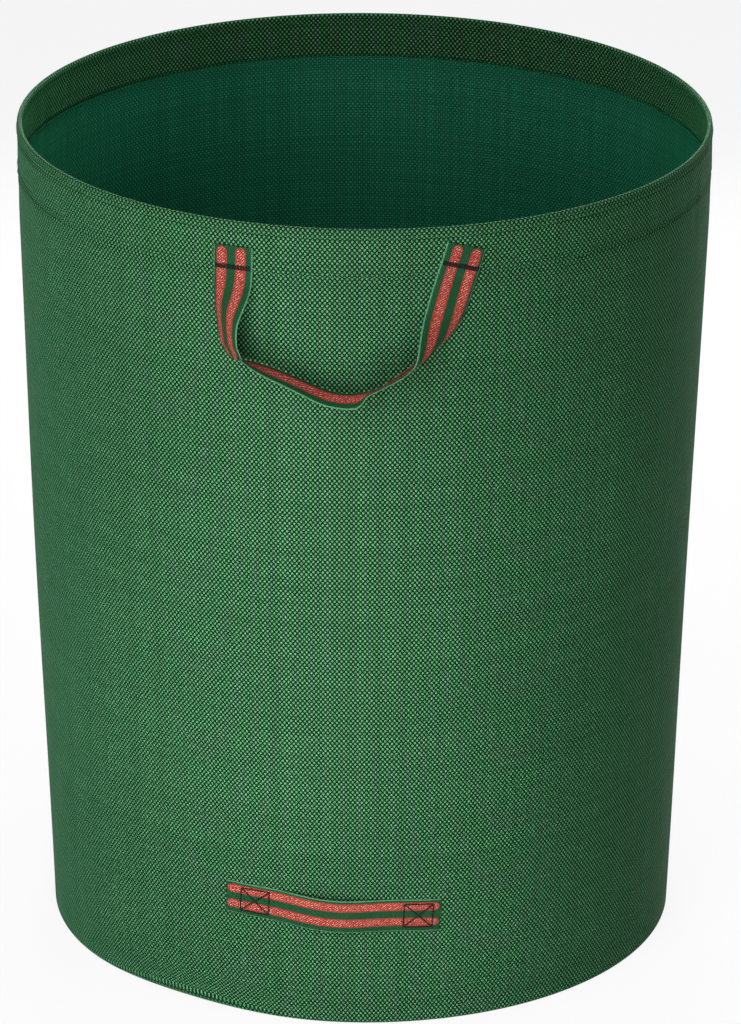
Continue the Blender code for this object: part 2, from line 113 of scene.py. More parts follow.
class Graph:
    """A material's node tree, with one short call for each kind of node the finishes use."""

    def __init__(self, name: str, roughness: float) -> None:
        """Starts a material with its shader.

        Args:
            name: The material's name.
            roughness: The shader's roughness, unless a node feeds it.
        """
        self.material = bpy.data.materials.new(name)
        self.material.use_nodes = True
        self.tree = self.material.node_tree
        self.shader = self.tree.nodes["Principled BSDF"]
        self.shader.inputs["Roughness"].default_value = roughness

    def feed(self, socket: bpy.types.NodeSocket, value: Value) -> None:
        """Links a socket to another, or sets it to a number or colour.

        Args:
            socket: The socket that takes the value.
            value: A socket, number or colour.
        """
        if isinstance(value, bpy.types.NodeSocket):
            self.tree.links.new(value, socket)
        elif isinstance(value, tuple):
            socket.default_value = (*value, 1.0)[:len(socket.default_value)]
        else:
            socket.default_value = value

    def add(self, kind: str, inputs: dict[int | str, Value], output: int | str = 0,
            **settings: object) -> bpy.types.NodeSocket:
        """Adds a node.

        Args:
            kind: The node's type name.
            inputs: The values of its inputs, by their numbers or names.
            output: Which of its outputs is wanted.
            settings: The node's own properties.

        Returns:
            That output's socket.
        """
        node = self.tree.nodes.new(kind)
        for key, value in settings.items():
            setattr(node, key, value)
        for key, value in inputs.items():
            self.feed(node.inputs[key], value)
        return node.outputs[output]

    def math(self, operation: str, *values: Value) -> bpy.types.NodeSocket:
        """Adds a Math node with its inputs in order."""
        return self.add("ShaderNodeMath", dict(enumerate(values)), operation=operation)

    def step(self, value: Value, low: float, high: float) -> bpy.types.NodeSocket:
        """A soft step from 0 where the value is low to 1 where it is high."""
        return self.add("ShaderNodeMapRange", {0: value, 1: low, 2: high},
                        interpolation_type="SMOOTHSTEP")

    def spread(self, value: Value, low: float, high: float) -> bpy.types.NodeSocket:
        """Spreads a value from 0 to 1 over the range from low to high."""
        return self.math("MULTIPLY_ADD", value, high - low, low)

    def mix(self, share: Value, first: Value, second: Value) -> bpy.types.NodeSocket:
        """Mixes two colours by the share of the second. The node's colour inputs are 6 and 7."""
        return self.add("ShaderNodeMix", {0: share, 6: first, 7: second}, 2, data_type="RGBA")

    def tint(self, colour: Value, amount: Value) -> bpy.types.NodeSocket:
        """Makes a colour lighter or darker, by what it is multiplied by."""
        return self.add("ShaderNodeVectorMath", {0: colour, 3: amount}, operation="SCALE")

    def cloth(self) -> tuple[bpy.types.NodeSocket, ...]:
        """Finds the place on the flat cloth, in metres.

        Returns:
            The distance across, the distance along, and both as a vector.
        """
        place = self.add("ShaderNodeUVMap", {}, uv_map=Piece.UV_NAME)
        parts = self.add("ShaderNodeSeparateXYZ", {0: place}).node.outputs
        return parts[0], parts[1], place

    def wave(self, value: Value, length: float) -> bpy.types.NodeSocket:
        """A sine that changes sign after each length."""
        return self.math("SINE", self.math("MULTIPLY", value, math.pi / length))

    def ridge(self, wave: Value) -> bpy.types.NodeSocket:
        """Turns a wave from -1 to 1 into a height from 0 to 1."""
        return self.math("MULTIPLY_ADD", wave, 0.5, 0.5)

    def noise(self, place: Value, scale: float, detail: float = 2.0) -> bpy.types.NodeSocket:
        """A noise from 0 to 1, finer with a larger scale and more broken with more detail."""
        return self.add("ShaderNodeTexNoise", {"Vector": place, "Scale": scale, "Detail": detail})

    def random(self, value: Value, length: float, seed: float) -> bpy.types.NodeSocket:
        """A random number from 0 to 1 for each length of the cloth, from a set that seed picks."""
        index = self.math("FLOOR", self.math("DIVIDE", value, length))
        return self.add("ShaderNodeTexWhiteNoise", {"W": self.math("ADD", index, seed)},
                        noise_dimensions="1D")

    def surface(self, colour: Value, roughness: Value | None = None) -> None:
        """Sets the shader's colour, and its roughness where it varies.

        Args:
            colour: The colour.
            roughness: The roughness, or None where it stays even.
        """
        self.feed(self.shader.inputs["Base Color"], colour)
        if roughness is not None:
            self.feed(self.shader.inputs["Roughness"], roughness)

    def relief(self, height: Value, depth: float) -> None:
        """Raises the surface by a height from 0 to 1, where 1 is the depth in metres."""
        bump = self.add("ShaderNodeBump", {"Strength": 1.0, "Distance": depth, "Height": height})
        self.feed(self.shader.inputs["Normal"], bump)


@dataclass(frozen=True)
class WovenSheet:
    """Plastic tapes woven over and under each other into a sheet.

    The crossing is where a tape goes from under to over, and the gap edge is where its dome starts.
    The over colour is the tape on top painted light, as a highlight on its crown, and the under
    colour is the same tape painted dark, as shade; the gap colour is painted shade in the hollows
    between the domes.
    """

    name: str
    # painted highlight: the over colour is the green tape painted lighter, standing in for the glint
    # on the crown of the tape on top
    over: Colour
    # painted shade: the under colour is the same tape painted darker, as the shaded tape beneath
    under: Colour
    # painted shade: the gap colour darkens the hollows between the tape domes
    gap: Colour
    tape_width: float = GIRTH / TAPES_ROUND
    row_height: float = 0.00262
    relief_depth: float = 0.00036
    dome_power: float = 0.6
    crossing: Span = (-0.12, 0.30)
    # painted shade: the range of dome height over which the hollows turn to the gap colour
    gap_shade_edge: Span = (0.10, 0.62)
    upright_seed: float = 3.0
    level_seed: float = 17.0
    tape_tones: Span = (0.90, 1.22)
    broad_tones: Span = (0.80, 1.20)
    broad_scale: float = 3.1
    wear_scale: float = 40.0
    wear: Span = (-0.08, 0.10)
    roughness: float = 0.52
    gloss: float = 0.025
    gloss_tint: Colour = (0.92, 1.00, 0.97)
    sheen: float = 0.14
    sheen_tint: Colour = (0.01, 0.80, 0.22)

    @cache
    def material(self) -> bpy.types.Material:
        """Makes the finish's material, once.

        Returns:
            The material.
        """
        graph = Graph(self.name, self.roughness)
        across, along, place = graph.cloth()
        cell = graph.math("MULTIPLY", graph.wave(across, self.tape_width),
                          graph.wave(along, self.row_height))
        height = graph.math("POWER", graph.math("ABSOLUTE", cell), self.dome_power)
        # painted highlight and shade: the share of the tape on top, which takes the lit colour,
        # against the tape beneath, which takes the shaded one
        on_top_highlight = graph.step(cell, *self.crossing)
        upright = graph.random(across, self.tape_width, self.upright_seed)
        level = graph.random(along, self.row_height, self.level_seed)
        tape_tone = graph.spread(graph.math("MULTIPLY", upright, level), *self.tape_tones)
        broad_tone = graph.spread(graph.noise(place, self.broad_scale), *self.broad_tones)
        tone = graph.math("MULTIPLY", tape_tone, broad_tone)
        woven = graph.mix(on_top_highlight, self.under, self.over)
        # painted shade: low in the dome, in the hollows between tapes, the colour turns to the dark
        # gap colour
        shaded = graph.mix(graph.step(height, *self.gap_shade_edge), self.gap, woven)
        roughness = graph.spread(graph.noise(place, self.wear_scale),
                                 *(self.roughness + change for change in self.wear))
        graph.surface(graph.tint(shaded, tone), roughness)
        graph.relief(height, self.relief_depth)
        graph.feed(graph.shader.inputs["Specular IOR Level"], self.gloss)
        graph.feed(graph.shader.inputs["Specular Tint"], self.gloss_tint)
        graph.feed(graph.shader.inputs["Sheen Weight"], self.sheen)
        graph.feed(graph.shader.inputs["Sheen Tint"], self.sheen_tint)
        return graph.material


@dataclass(frozen=True)
class StripedWebbing:
    """Strap webbing with two stripes, woven through so that both faces show them.

    The stripes lie each side of the pattern's middle, have a plainer edge and are rounded at the
    strap's cut ends, where the end margin is turned under.
    """

    name: str = "webbing_weave"
    ground: Colour = (0.006, 0.056, 0.019)
    stripe: Colour = (0.275, 0.026, 0.020)
    fleck: Colour = (0.720, 0.320, 0.235)
    # painted highlight: the pale colour along the strap's edges stands in for light caught on its
    # rounded edge
    edge_highlight: Colour = (0.080, 0.250, 0.120)
    width: float = 0.038
    pattern_middle: float = 0.0174
    stripe_middle: float = 0.0091
    stripe_half: float = 0.0049
    end_margin: float = 0.0012
    end_round: float = 0.0048
    twill_length: float = 0.0014
    thread_width: float = 0.00095
    rib_length: float = 0.0011
    raggedness: float = 0.00022
    blur: float = 0.0002
    plain_edge: float = 0.0024
    # painted highlight: the width of the pale band at each edge
    edge_highlight_width: float = 0.0016
    twill_edge: Span = (-0.1, 0.6)
    noise_detail: float = 3.0
    fleck_scale: float = 600.0
    fleck_edge: Span = (0.42, 0.60)
    fleck_shares: Span = (1.0, 0.15)
    wear_scale: float = 55.0
    wear_tones: Span = (0.78, 1.22)
    # painted shade: how much darker the weave is painted in its hollows than on its ribs
    rib_shade_tones: Span = (0.62, 1.16)
    relief_depth: float = 0.00022
    roughness: float = 0.78
    gloss: float = 0.15

    @cache
    def material(self) -> bpy.types.Material:
        """Makes the finish's material, once.

        Returns:
            The material.
        """
        graph = Graph(self.name, self.roughness)
        across, along, place = graph.cloth()
        cell = graph.math("MULTIPLY", graph.wave(across, self.thread_width),
                          graph.wave(along, self.rib_length))
        height = graph.ridge(cell)
        ragged = graph.math("MULTIPLY_ADD", graph.wave(along, self.rib_length), self.raggedness,
                            across)
        aside = graph.math("ABSOLUTE", graph.math("SUBTRACT", ragged, self.width / 2))
        from_middle = graph.math("ABSOLUTE", graph.math("SUBTRACT", ragged, self.pattern_middle))
        off_stripe = graph.math("ABSOLUTE",
                                graph.math("SUBTRACT", from_middle, self.stripe_middle))
        to_end = graph.add("ShaderNodeAttribute", {}, "Fac", attribute_name=Piece.END_NAME)
        short = graph.add("ShaderNodeMapRange", {
            0: to_end, 1: self.end_margin, 2: self.end_margin + self.end_round, 3: 1.0, 4: 0.0})
        narrowed = graph.math("SQRT",
                              graph.math("SUBTRACT", 1.0, graph.math("POWER", short, 2.0)))
        off_stripe = graph.math("MULTIPLY_ADD", graph.math("SUBTRACT", 1.0, narrowed),
                                self.stripe_half, off_stripe)
        out_of_stripe = graph.step(off_stripe, self.stripe_half - self.blur,
                                   self.stripe_half + self.blur)
        near_edge = graph.step(off_stripe, self.stripe_half - self.plain_edge,
                               self.stripe_half - 2 * self.blur)
        twill = graph.wave(graph.math("ADD", across, along), self.twill_length)
        patchy = graph.step(graph.noise(place, self.fleck_scale, self.noise_detail),
                            *self.fleck_edge)
        flecks = graph.math("MULTIPLY", graph.spread(near_edge, *self.fleck_shares),
                            graph.math("MULTIPLY", graph.step(twill, *self.twill_edge), patchy))
        stripe = graph.mix(flecks, self.stripe, self.fleck)
        # painted highlight: a pale band along each edge of the strap, mixed into the ground colour
        edge = graph.step(aside, self.width / 2 - self.edge_highlight_width,
                          self.width / 2 - self.edge_highlight_width / 2)
        ground = graph.mix(edge, self.ground, self.edge_highlight)
        woven = graph.mix(out_of_stripe, stripe, ground)
        worn = graph.spread(graph.noise(place, self.wear_scale, self.noise_detail),
                            *self.wear_tones)
        # painted shade: the colour is darker where the rib is low, in the hollows of the weave
        tone = graph.math("MULTIPLY", worn, graph.spread(height, *self.rib_shade_tones))
        graph.surface(graph.tint(woven, tone))
        graph.relief(height, self.relief_depth)
        graph.feed(graph.shader.inputs["Specular IOR Level"], self.gloss)
        return graph.material


@dataclass(frozen=True)
class SeamTape:
    """Plain narrow tape that covers a seam."""

    name: str = "tape_weave"
    colour: Colour = (0.016, 0.090, 0.040)
    rib_length: float = 0.0012
    wear_scale: float = 60.0
    wear_tones: Span = (0.80, 1.20)
    # painted shade: how much darker the tape is painted in the hollows between its ribs
    rib_shade_tones: Span = (0.75, 1.10)
    relief_depth: float = 0.00018
    roughness: float = 0.75

    @cache
    def material(self) -> bpy.types.Material:
        """Makes the finish's material, once.

        Returns:
            The material.
        """
        graph = Graph(self.name, self.roughness)
        across, along, place = graph.cloth()
        slanted = graph.math("ADD", across, along)
        rib = graph.ridge(graph.wave(slanted, self.rib_length))
        worn = graph.spread(graph.noise(place, self.wear_scale), *self.wear_tones)
        # painted shade: darker where the rib is low
        tone = graph.math("MULTIPLY", worn, graph.spread(rib, *self.rib_shade_tones))
        graph.surface(graph.tint(self.colour, tone))
        graph.relief(rib, self.relief_depth)
        return graph.material


@dataclass(frozen=True)
class Thread:
    """Twisted sewing thread."""

    name: str
    colour: Colour
    twist_length: float = 0.0007
    # painted shade: how much darker the thread is painted between its plies
    ply_shade_tones: Span = (0.7, 1.2)
    wear_scale: float = 300.0
    wear_tones: Span = (0.85, 1.15)
    relief_depth: float = 0.00012
    roughness: float = 0.60
    gloss: float = 0.15

    @cache
    def material(self) -> bpy.types.Material:
        """Makes the finish's material, once.

        Returns:
            The material.
        """
        graph = Graph(self.name, self.roughness)
        across, along, place = graph.cloth()
        slanted = graph.math("ADD", along, across)
        height = graph.ridge(graph.wave(slanted, self.twist_length))
        worn = graph.spread(graph.noise(place, self.wear_scale), *self.wear_tones)
        # painted shade: darker where the twist is low, between the plies
        tone = graph.math("MULTIPLY", graph.spread(height, *self.ply_shade_tones), worn)
        graph.surface(graph.tint(self.colour, tone))
        graph.relief(height, self.relief_depth)
        graph.feed(graph.shader.inputs["Specular IOR Level"], self.gloss)
        return graph.material


@dataclass(frozen=True)
class RodPlastic:
    """Plain extruded plastic, drawn lengthways."""

    name: str = "rod_plastic"
    colour: Colour = (0.035, 0.040, 0.036)
    grain_scale: float = 180.0
    grain_detail: float = 3.0
    grain_roughness: Span = (0.34, 0.52)
    tone_scale: float = 25.0
    tones: Span = (0.85, 1.15)
    relief_depth: float = 0.00006

    @cache
    def material(self) -> bpy.types.Material:
        """Makes the finish's material, once.

        Returns:
            The material.
        """
        graph = Graph(self.name, self.grain_roughness[0])
        place = graph.add("ShaderNodeTexCoord", {}, "Object")
        grain = graph.noise(place, self.grain_scale, self.grain_detail)
        tone = graph.spread(graph.noise(place, self.tone_scale), *self.tones)
        graph.surface(graph.tint(self.colour, tone), graph.spread(grain, *self.grain_roughness))
        graph.relief(grain, self.relief_depth)
        return graph.material


# painted highlight and shade: in each sheet the first colour is the tape painted lit, the second the
# same tape painted shaded, and the third painted shade in the hollows between tapes
OUTSIDE = WovenSheet("weave_outside", (0.112, 0.258, 0.146), (0.001, 0.036, 0.004),
                     (0.0005, 0.011, 0.002))
INSIDE = WovenSheet("weave_inside", (0.040, 0.265, 0.150), (0.014, 0.150, 0.080),
                    (0.006, 0.070, 0.038), roughness=0.38)
WEBBING = StripedWebbing()
TAPE = SeamTape()
DARK_THREAD = Thread("thread_dark", (0.005, 0.008, 0.006))
GREEN_THREAD = Thread("thread_green", (0.013, 0.074, 0.029))
HOOP_ROD = RodPlastic()


class Piece:
    """Turns arrays of points into objects, with their cloth coordinates and finishes."""

    UV_NAME = "cloth"
    END_NAME = "to_end"
    EDGE_SHARE = 0.30
    EDGE_POWER = 7

    @staticmethod
    def build(name: str, points: Array, faces: list[list[int]], places: Array,
              finishes: list[bpy.types.Material]) -> bpy.types.Object:
        """Makes a smooth mesh object.

        Args:
            name: The piece's name.
            points: One row of x, y and z for each vertex.
            faces: The vertices of each face.
            places: The place on the flat cloth of each corner of each face, in order.
            finishes: The materials, the first for every face.

        Returns:
            The new object, linked to the scene.
        """
        mesh = bpy.data.meshes.new(name)
        mesh.from_pydata(np.asarray(points, float).reshape(-1, 3).tolist(), [], faces)
        layer = mesh.uv_layers.new(name=Piece.UV_NAME)
        layer.data.foreach_set("uv", np.asarray(places, np.float32).ravel())
        for material in finishes:
            mesh.materials.append(material)
        mesh.shade_smooth()
        thing = bpy.data.objects.new(name, mesh)
        bpy.context.scene.collection.objects.link(thing)
        return thing

    @staticmethod
    def cells(rows: int, columns: int) -> Array:
        """The corners of each cell in a grid of points that are numbered row by row."""
        first = np.arange(rows - 1)[:, None] * columns + np.arange(columns - 1)
        return first.reshape(-1, 1) + [0, columns, columns + 1, 1]

    @staticmethod
    def ring_faces(rows: int, count: int) -> Array:
        """The same for closed rings of points, where the last cell of a row ends at its first."""
        cells = Piece.cells(rows, count + 1)
        return cells // (count + 1) * count + cells % (count + 1) % count

    @staticmethod
    def grid(name: str, points: Array, places: Array,
             finishes: list[bpy.types.Material]) -> bpy.types.Object:
        """Makes a round sheet from closed rings of points.

        Args:
            name: The piece's name.
            points: An array of rings, points and x, y, z.
            places: The same for cloth coordinates, with one more to a ring, where it closes.
            finishes: The materials, the first for every face.

        Returns:
            The new object.
        """
        rows, count = points.shape[:2]
        corners = places.reshape(-1, 2)[Piece.cells(rows, count + 1).ravel()]
        return Piece.build(name, points, Piece.ring_faces(rows, count).tolist(), corners, finishes)

    @staticmethod
    def thicken(thing: bpy.types.Object, thickness: float, inner: int = 0) -> bpy.types.Object:
        """Gives a sheet its thickness, centred on its points.

        Args:
            thing: The sheet.
            thickness: Its thickness.
            inner: How many material slots further on the inner face's finish is.

        Returns:
            The sheet.
        """
        solid = thing.modifiers.new("thickness", "SOLIDIFY")
        solid.thickness = thickness
        solid.offset = 0.0
        solid.use_even_offset = False
        solid.material_offset = inner
        depsgraph = bpy.context.evaluated_depsgraph_get()
        mesh = bpy.data.meshes.new_from_object(thing.evaluated_get(depsgraph))
        thing.modifiers.clear()
        thing.data = mesh
        return thing

    @staticmethod
    def strap(name: str, middle: Array, places: Array, thickness: float,
              finish: bpy.types.Material, to_end: Array | None = None) -> bpy.types.Object:
        """Makes flat webbing with rounded edges from a grid of points on its middle face.

        Args:
            name: The piece's name.
            middle: An array of rows along the strap, columns across it and x, y, z.
            places: The cloth coordinates of those points.
            thickness: The webbing's thickness.
            finish: The webbing's material.
            to_end: The distance from each row to the nearest cut end.

        Returns:
            The new object.
        """
        rows, columns = middle.shape[:2]
        normal = np.cross(np.gradient(middle, axis=1), np.gradient(middle, axis=0))
        normal /= np.linalg.norm(normal, axis=2, keepdims=True)
        share = np.linspace(-1.0, 1.0, columns)
        swelling = (Piece.EDGE_SHARE
                    + (1.0 - Piece.EDGE_SHARE) * (1.0 - np.abs(share) ** Piece.EDGE_POWER) ** 0.5)
        lift = normal * (thickness / 2 * swelling)[None, :, None]
        ring = np.concatenate([middle + lift, (middle - lift)[:, ::-1]], axis=1)
        ring_places = np.concatenate([places, places[:, ::-1]], axis=1)
        count = 2 * columns
        first = np.arange(columns - 1)
        cap = np.stack([first, count - 1 - first, count - 2 - first, first + 1], axis=1)
        faces = np.concatenate([Piece.ring_faces(rows, count)[:, [0, 3, 2, 1]], cap,
                                (rows - 1) * count + cap[:, ::-1]])
        corners = ring_places.reshape(-1, 2)[faces.ravel()]
        strap = Piece.build(name, ring, faces.tolist(), corners, [finish])
        last = (rows - 1) * count
        for edge in strap.data.edges:
            edge.use_edge_sharp = max(edge.vertices) < count or min(edge.vertices) >= last
        if to_end is not None:
            layer = strap.data.attributes.new(Piece.END_NAME, "FLOAT", "POINT")
            layer.data.foreach_set("value", np.repeat(to_end, count).astype(np.float32))
        return strap


@dataclass(frozen=True)
class Sewing:
    """One kind of sewing: separate stitches in a row, each a short thread that dips at its ends.

    The form gives, for each ring of points, its share of the stitch's length, then its lift and its
    width as shares of the thread's radius.
    """

    thread: float
    pitch: float
    shown: float
    finish: Thread
    sides: int = 5
    skin_length: float = 0.004
    form: tuple[tuple[float, float, float], ...] = (
        (0.0, -0.2, 0.15),
        (0.10, 0.45, 0.85),
        (0.5, 0.80, 1.0),
        (0.90, 0.45, 0.85),
        (1.0, -0.2, 0.15),
    )

    def divide(self, points: Array) -> list[Array]:
        """Divides a line into stitches.

        Args:
            points: The line's points.

        Returns:
            The starts and the ends of the stitches.
        """
        steps = np.linalg.norm(np.diff(points, axis=0), axis=1)
        lengths = np.concatenate([[0.0], np.cumsum(steps)])
        count = max(1, round(lengths[-1] / self.pitch))
        marks = np.arange(count) * lengths[-1] / count
        spare = lengths[-1] / count * (1 - self.shown) / 2
        return [np.stack([np.interp(place, lengths, points[:, k]) for k in range(3)], axis=1)
                for place in (marks + spare, marks + lengths[-1] / count - spare)]

    def make(self, name: str, node: str,
             lines: list[tuple[Array, float]]) -> bpy.types.Object:
        """Makes the stitches along one or more lines.

        Args:
            name: The piece's name.
            node: The CAD node that it replaces.
            lines: The points of each line, and the way that its cloth faces: 1 is away from the
                bag's axis, -1 is towards it and 0 is up.

        Returns:
            The piece.
        """
        runs = []
        for points, way in lines:
            first, last = self.divide(points)
            out = (first + last) / 2 * (way, way, 0.0) + (0.0, 0.0, 1.0 - abs(way))
            runs.append((first, last, out / np.linalg.norm(out, axis=1, keepdims=True)))
        starts, ends, normals = (np.concatenate(parts) for parts in zip(*runs))
        run = ends - starts
        aside = np.cross(run / np.linalg.norm(run, axis=1, keepdims=True), normals)
        radius = self.thread / 2
        rings = []
        places = []
        for share, lift, width in self.form:
            centre = starts + run * share + normals * radius * lift
            for turn in np.arange(self.sides) * 2 * math.pi / self.sides:
                out = aside * math.cos(turn) + normals * math.sin(turn)
                rings.append(centre + out * radius * width)
                places.append((turn * radius, share * self.skin_length))
        each = len(rings)
        one = [*Piece.ring_faces(len(self.form), self.sides).tolist(), list(range(self.sides)),
               list(range(each - 1, each - 1 - self.sides, -1))]
        faces = [[number * each + k for k in face] for number in range(len(starts))
                 for face in one]
        corners = np.array([places[k] for face in one for k in face] * len(starts))
        row = Piece.build(name, np.stack(rings, axis=1), faces, corners,
                          [self.finish.material()])
        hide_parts(node)
        return row


SEAM_SEWING = Sewing(thread=0.00055, pitch=0.0042, shown=0.80, finish=GREEN_THREAD)
BASE_SEWING = Sewing(thread=0.0006, pitch=0.0040, shown=0.80, finish=GREEN_THREAD)
BAR_SEWING = Sewing(thread=0.0014, pitch=0.0026, shown=0.92, finish=DARK_THREAD)
BOX_SEWING = Sewing(thread=0.0016, pitch=0.0032, shown=0.96, finish=DARK_THREAD)


@dataclass(frozen=True)
class BagShape:
    """The form of the standing bag's cloth, which every piece on the wall is laid on.

    Each ripple is its count round the bag, its turn and its share of the depth. Each wave is its
    count, depth, turn and share of the full climb, which is how far it turns on its way up.
    """

    height: float = 0.800
    top_radius: float = 0.3285
    base_radius: float = 0.300
    belly_left: float = 0.0014
    belly_right: float = 0.0002
    mouth_pull: float = 0.0031
    mouth_start: float = 0.700
    edge_radius: float = 0.003
    edge_softness: float = 0.012
    soft_angle: float = -0.546
    soft_spread: float = 0.32
    hem_line: float = 0.7575
    ripple_depth: float = 0.00022
    ripple_reach: float = 0.022
    ripples: tuple[tuple[float, float, float], ...] = (
        (53, 0.4, 1.0),
        (71, 2.0, 1.0),
        (97, 0.0, 0.7),
    )
    wave_power: float = 0.8
    full_climb: float = 3.0
    fold_foot: float = 0.14
    fold_top: float = 0.757
    waves: tuple[tuple[float, float, float, float], ...] = (
        (3, 0.0009, 0.9, 0.8),
        (5, 0.0008, 5.5, -1.1),
        (7, 0.0007, 3.4, 1.6),
        (11, 0.0004, 1.7, -2.2),
    )

    def cone(self, height: Array | float) -> Array | float:
        """Radius of the plain cone at a height."""
        return self.base_radius + (self.top_radius - self.base_radius) * height / self.height

    def swell(self, angle: Array, height: Array | float) -> Array:
        """How far the cloth stands out from the plain cone.

        Args:
            angle: Angles round the bag.
            height: Heights above the floor.

        Returns:
            The distances outwards.
        """
        rise = np.clip(np.asarray(height) / self.height, 0.0, 1.0)
        loose = np.sin(math.pi * rise)
        leftness = 0.5 - 0.5 * np.sin(angle)
        out = loose * (self.belly_right + (self.belly_left - self.belly_right) * leftness)
        for count, depth, turn, climb in self.waves:
            wave = np.sin(count * angle + turn + climb * self.full_climb * rise)
            out = out + depth * loose ** self.wave_power * wave
        near_hem = np.exp(-np.abs(np.asarray(height) - self.hem_line) / self.ripple_reach)
        ripple = sum(depth * np.sin(count * angle + turn) for count, turn, depth in self.ripples)
        pull = self.mouth_pull * soft_share(height, self.mouth_start, self.height)
        return out + self.ripple_depth * near_hem * ripple - pull

    def edge(self, angle: Array) -> Array:
        """The radius of the rounding where the wall meets the floor, softest at the front left."""
        return self.edge_radius + self.edge_softness * hump(angle, self.soft_angle,
                                                            self.soft_spread)

    def point(self, angle: Array, height: Array | float, stand_off: Array | float) -> Array:
        """Points near the wall.

        Args:
            angle: Angles round the bag.
            height: Heights above the floor.
            stand_off: Distances outwards from the cloth's outer face.

        Returns:
            An array with x, y and z last.
        """
        return round_axis(angle, self.cone(height) + self.swell(angle, height) + stand_off, height)

    def shorten(self, thing: bpy.types.Object) -> None:
        """Bakes a piece of the wall's placement into its mesh."""
        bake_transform(thing)


@dataclass
class WallAndHem:
    """The side panel and the hem it is folded into: one sheet, from inside the rim to the base.

    The hem profile is, for each row, its height, its stand-off and how far out it comes in the
    crease at the left.
    """

    shape: BagShape
    columns: int = 360
    thickness: float = SHEET_THICKNESS
    seam_angle: float = SEAM_ANGLE
    inner_stand_off: float = -0.0016
    inner_heights: tuple[float, ...] = (0.7555, 0.7600, 0.7680, 0.7760, 0.7840, 0.7895)
    bead_height: float = 0.7961
    bead_middle: float = -0.0014
    bead_half_width: float = 0.0024
    bead_half_height: float = 0.0033
    bead_turns: tuple[int, ...] = tuple(range(222, -41, -16))
    inner_edge: float = 0.279
    crease_angle: float = math.radians(-79.0)
    crease_spread: float = math.radians(17.0)
    hem_profile: tuple[tuple[float, float, float], ...] = (
        (0.7922, 0.00170, 0.0),
        (0.7908, 0.00080, 0.0),
        (0.7897, 0.00012, -0.0003),
        (0.7890, 0.00050, -0.0016),
        (0.7882, 0.00095, -0.0013),
        (0.7868, 0.00104, 0.0002),
        (0.7800, 0.00104, 0.0),
        (0.7700, 0.00096, 0.0),
        (0.7630, 0.00092, 0.0),
        (0.7598, 0.00088, 0.0),
        (0.7584, 0.00066, 0.0),
        (0.7575, 0.00052, 0.0),
        (0.7566, 0.00066, 0.0002),
        (0.7555, 0.00080, 0.0003),
        (0.7547, 0.00072, 0.0007),
        (0.7545, 0.00095, 0.0005),
        (0.7540, 0.00010, -0.0008),
        (0.7532, -0.00060, -0.0016),
        (0.7522, -0.00030, -0.0016),
        (0.7508, 0.00030, -0.0004),
        (0.7480, 0.00050, 0.0002),
        (0.7440, 0.00030, 0.0002),
        (0.7400, 0.00000, 0.0),
    )
    wall_steps: int = 56
    foot_height: float = 0.034
    foot_turns: tuple[int, ...] = tuple(range(0, 91, 10))

    def rows(self, angles: Array) -> list[tuple[Array, Array]]:
        """The radius and height of each row of points, from inside the rim to under the base.

        Args:
            angles: The angle of each column.

        Returns:
            A pair of arrays for each row.
        """
        shape = self.shape
        found = []

        def level(height: float, stand_off: Array | float) -> None:
            """Adds a row at one height."""
            radius = shape.cone(height) + shape.swell(angles, height) + stand_off
            found.append((radius, np.full_like(angles, height)))

        for height in self.inner_heights:
            level(height, self.inner_stand_off)
        for angle in np.radians(self.bead_turns):
            centre = self.bead_height + self.bead_half_height * math.sin(angle)
            level(centre, self.bead_middle + self.bead_half_width * math.cos(angle))
        crease = hump(angles, self.crease_angle, self.crease_spread)
        for height, stand_off, creased in self.hem_profile:
            level(height, stand_off + creased * crease)
        top = self.hem_profile[-1][0]
        for step in range(1, self.wall_steps + 1):
            level(top + (self.foot_height - top) * step / self.wall_steps, -self.thickness / 2)
        soft = shape.edge(angles)
        foot = shape.cone(soft) + shape.swell(angles, soft) - self.thickness / 2
        for angle in np.radians(self.foot_turns):
            height = self.thickness / 2 + soft * (1 - math.sin(angle))
            found.append((foot - soft * (1 - math.cos(angle)), height))
        flat = np.full_like(angles, self.thickness / 2)
        inner = np.full_like(angles, self.inner_edge)
        found.append(((foot - soft + inner) / 2, flat))
        found.append((inner, flat))
        return found

    def make(self) -> list[bpy.types.Object]:
        """Makes the sheet.

        Returns:
            The piece.
        """
        angles = self.seam_angle + np.arange(self.columns) * 2 * math.pi / self.columns
        radii, heights = (np.stack(parts) for parts in zip(*self.rows(angles)))
        points = round_axis(angles, radii, heights)
        steps = np.linalg.norm(np.diff(points, axis=0), axis=2).mean(axis=1)
        along = -np.concatenate([[0.0], np.cumsum(steps)])
        places = cloth_places(np.linspace(0.0, GIRTH, self.columns + 1), along)
        sheet = Piece.grid("wall_and_hem", points, places,
                           [OUTSIDE.material(), INSIDE.material()])
        Piece.thicken(sheet, self.thickness, inner=1)
        self.shape.shorten(sheet)
        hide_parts("side_panel", "rim_hem")
        return [sheet]


@dataclass
class HemRows:
    """The two rows of stitching round the hem, which show on both of its faces.

    Each row is its CAD node, its height and its stand-off outside.
    """

    shape: BagShape
    rows: tuple[tuple[str, float, float], ...] = (
        ("hem_stitch_upper", 0.7897, 0.00040),
        ("hem_stitch_lower", 0.7575, 0.00072),
    )
    inner_stand_off: float = -0.00182
    points: int = 1441

    def make(self) -> list[bpy.types.Object]:
        """Makes both rows.

        Returns:
            The two pieces.
        """
        made = []
        angles = np.linspace(0.0, 2 * math.pi, self.points)
        for name, height, outer in self.rows:
            lines = [(self.shape.point(angles, height, stand_off), way)
                     for stand_off, way in ((outer, 1.0), (self.inner_stand_off, -1.0))]
            row = SEAM_SEWING.make(name + "_thread", name, lines)
            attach(row, "rim")
            made.append(row)
        return made


